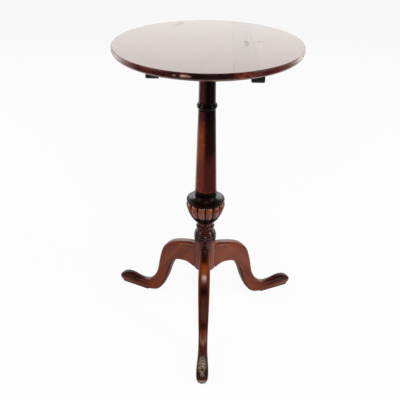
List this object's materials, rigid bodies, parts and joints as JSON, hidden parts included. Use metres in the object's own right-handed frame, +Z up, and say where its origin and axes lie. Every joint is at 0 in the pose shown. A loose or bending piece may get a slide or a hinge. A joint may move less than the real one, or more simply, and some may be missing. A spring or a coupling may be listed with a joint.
{
  "type": "tilt-top candle stand",
  "caption": "Round wooden tilt-top on a hinged block, a turned pillar with a carved knop and arched cabriole legs with slipper toes; the top tips up when its brass catch is drawn.",
  "frame": {"origin": "on the pillar's axis at floor level", "axes": "+Z up along the pillar, -Y to the front where one leg points, +X to the right"},
  "size_m": [0.4728, 0.472, 0.71],
  "materials": {
    "top_wood": "polished",
    "pillar_wood": "polished",
    "leg_wood": "polished",
    "under_wood": "oiled",
    "brass": "aged",
    "iron": "worn"
  },
  "bodies": {
    "stand": {"pillar": "pillar_wood", "tenon_wedge": "under_wood", "tilt_block": "under_wood", "hinge_pin_left": "under_wood", "hinge_pin_right": "under_wood", "keeper_plate": "brass", "keeper_screws": "brass", "leg_front": "leg_wood", "leg_right": "leg_wood", "leg_left": "leg_wood"},
    "top": {"top_board_left": "top_wood", "top_board_centre": "top_wood", "top_board_right": "top_wood", "bearer_left": "under_wood", "bearer_right": "under_wood", "bearer_screws": "iron", "catch_case": "brass", "catch_spring": "brass", "catch_screws": "brass"},
    "bolt": {"catch_bolt": "brass", "catch_knob": "brass"}
  },
  "joints": [
    {"name": "top_tilt", "type": "hinge", "parent": "stand", "child": "top", "pos_m": [-0.00425, 0.08048, 0.683], "axis": [-1, 0, 0], "range_deg": [0, 90]},
    {"name": "bolt_slide", "type": "slide", "parent": "top", "child": "bolt", "axis": [0, 1, 0], "range_m": [0, 0.008]}
  ]
}
